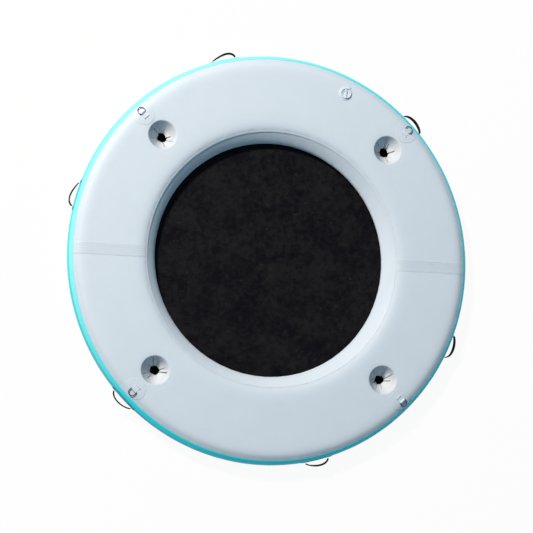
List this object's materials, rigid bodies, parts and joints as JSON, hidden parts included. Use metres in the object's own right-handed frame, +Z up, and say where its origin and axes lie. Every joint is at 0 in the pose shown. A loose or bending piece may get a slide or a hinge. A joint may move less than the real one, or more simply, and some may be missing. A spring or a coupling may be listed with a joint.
{
  "type": "inflatable dock platform",
  "caption": "Round drop-stitch inflatable platform with a stretched mesh centre, pinched through-wells, D-rings on patches, webbing grab handles and a capped valve.",
  "frame": {"origin": "middle of the ring on the plane that the platform rests on", "axes": "+Z up through the deck, +X and -X through the two joint tapes, +Y towards the valve's half"},
  "size_m": [2.4328, 2.4328, 0.1683],
  "materials": {
    "pale_fabric": "matte coated",
    "seam_fabric": "satin coated",
    "rail_fabric": "satin coated",
    "side_fabric": "satin coated",
    "black_mesh": "open mesh",
    "black_webbing": "woven",
    "grey_webbing": "woven",
    "yarn": "matte",
    "ring_steel": "polished",
    "valve_plastic": "satin",
    "dark_plastic": "satin",
    "seal_rubber": "matte"
  },
  "bodies": {
    "platform": {"top_skin_rear": "pale_fabric", "top_skin_front": "pale_fabric", "bottom_skin_rear": "pale_fabric", "bottom_skin_front": "pale_fabric", "outer_side_band": "side_fabric", "inner_side_band": "pale_fabric", "outer_top_tape": "rail_fabric", "outer_bottom_tape": "rail_fabric", "inner_top_tape": "seam_fabric", "joint_tape_top_left": "seam_fabric", "joint_tape_top_right": "seam_fabric", "joint_tape_bottom_left": "seam_fabric", "joint_tape_bottom_right": "seam_fabric", "drop_stitch_yarn": "yarn", "mesh_panel": "black_mesh", "mesh_hem": "seam_fabric", "well_liner_1": "pale_fabric", "well_liner_2": "pale_fabric", "well_liner_3": "pale_fabric", "well_liner_4": "pale_fabric", "well_collar_1": "seam_fabric", "well_collar_2": "seam_fabric", "well_collar_3": "seam_fabric", "well_collar_4": "seam_fabric", "well_net_1": "black_mesh", "well_net_2": "black_mesh", "well_net_3": "black_mesh", "well_net_4": "black_mesh", "dring_patch_1": "pale_fabric", "dring_patch_2": "pale_fabric", "dring_patch_3": "pale_fabric", "dring_patch_4": "pale_fabric", "dring_tab_1": "grey_webbing", "dring_tab_2": "grey_webbing", "dring_tab_3": "grey_webbing", "dring_tab_4": "grey_webbing", "handle_pad_1": "side_fabric", "handle_pad_2": "side_fabric", "handle_pad_3": "side_fabric", "handle_pad_4": "side_fabric", "handle_pad_5": "side_fabric", "handle_pad_6": "side_fabric", "valve_body": "valve_plastic", "valve_nut": "dark_plastic", "valve_spring": "ring_steel", "valve_leash_eye": "valve_plastic"},
    "dring_1": {"dring_1": "ring_steel"},
    "dring_2": {"dring_2": "ring_steel"},
    "dring_3": {"dring_3": "ring_steel"},
    "dring_4": {"dring_4": "ring_steel"},
    "handle_1": {"handle_1": "black_webbing"},
    "handle_2": {"handle_2": "black_webbing"},
    "handle_3": {"handle_3": "black_webbing"},
    "handle_4": {"handle_4": "black_webbing"},
    "handle_5": {"handle_5": "black_webbing"},
    "handle_6": {"handle_6": "black_webbing"},
    "plunger": {"valve_plunger": "dark_plastic", "valve_seal": "seal_rubber"},
    "leash": {"valve_leash": "valve_plastic"},
    "cap": {"valve_cap": "valve_plastic"}
  },
  "joints": [
    {"name": "dring_1_swing", "type": "hinge", "parent": "platform", "child": "dring_1", "pos_m": [0.81317, 0.81317, 0.1596], "axis": [0.7071, -0.7071, 0], "range_deg": [-3, 170]},
    {"name": "dring_2_swing", "type": "hinge", "parent": "platform", "child": "dring_2", "pos_m": [-0.81317, 0.81317, 0.1596], "axis": [0.7071, 0.7071, 0], "range_deg": [-3, 170]},
    {"name": "dring_3_swing", "type": "hinge", "parent": "platform", "child": "dring_3", "pos_m": [-0.81317, -0.81317, 0.1596], "axis": [-0.7071, 0.7071, 0], "range_deg": [-3, 170]},
    {"name": "dring_4_swing", "type": "hinge", "parent": "platform", "child": "dring_4", "pos_m": [0.81317, -0.81317, 0.1596], "axis": [-0.7071, -0.7071, 0], "range_deg": [-3, 170]},
    {"name": "handle_1_fold", "type": "hinge", "parent": "platform", "child": "handle_1", "pos_m": [0.86931, 0.86931, 0.0773], "axis": [0.7071, -0.7071, 0], "range_deg": [-60, 60]},
    {"name": "handle_2_fold", "type": "hinge", "parent": "platform", "child": "handle_2", "pos_m": [-0.31819, 1.1875, 0.0773], "axis": [0.9659, 0.2588, 0], "range_deg": [-60, 60]},
    {"name": "handle_3_fold", "type": "hinge", "parent": "platform", "child": "handle_3", "pos_m": [-1.1875, 0.31819, 0.0773], "axis": [0.2588, 0.9659, 0], "range_deg": [-60, 60]},
    {"name": "handle_4_fold", "type": "hinge", "parent": "platform", "child": "handle_4", "pos_m": [-0.86931, -0.86931, 0.0773], "axis": [-0.7071, 0.7071, 0], "range_deg": [-60, 60]},
    {"name": "handle_5_fold", "type": "hinge", "parent": "platform", "child": "handle_5", "pos_m": [0.31819, -1.1875, 0.0773], "axis": [-0.9659, -0.2588, 0], "range_deg": [-60, 60]},
    {"name": "handle_6_fold", "type": "hinge", "parent": "platform", "child": "handle_6", "pos_m": [1.13581, -0.47047, 0.0773], "axis": [-0.3827, -0.9239, 0], "range_deg": [-60, 60]},
    {"name": "plunger_slide", "type": "slide", "parent": "platform", "child": "plunger", "axis": [0, 0, -1], "range_m": [0, 0.007], "stiffness_N_per_m": 300, "springref_m": -0.01, "deforming": ["valve_spring"]},
    {"name": "leash_fold", "type": "hinge", "parent": "platform", "child": "leash", "pos_m": [0.4363, 1.04208, 0.1596], "axis": [-0.866, 0.5, 0], "range_deg": [0, 90]},
    {"name": "cap_turn", "type": "hinge", "parent": "leash", "child": "cap", "pos_m": [0.4198, 1.0135, 0.1596], "axis": [0, 0, 1], "range_deg": [0, 90]}
  ]
}
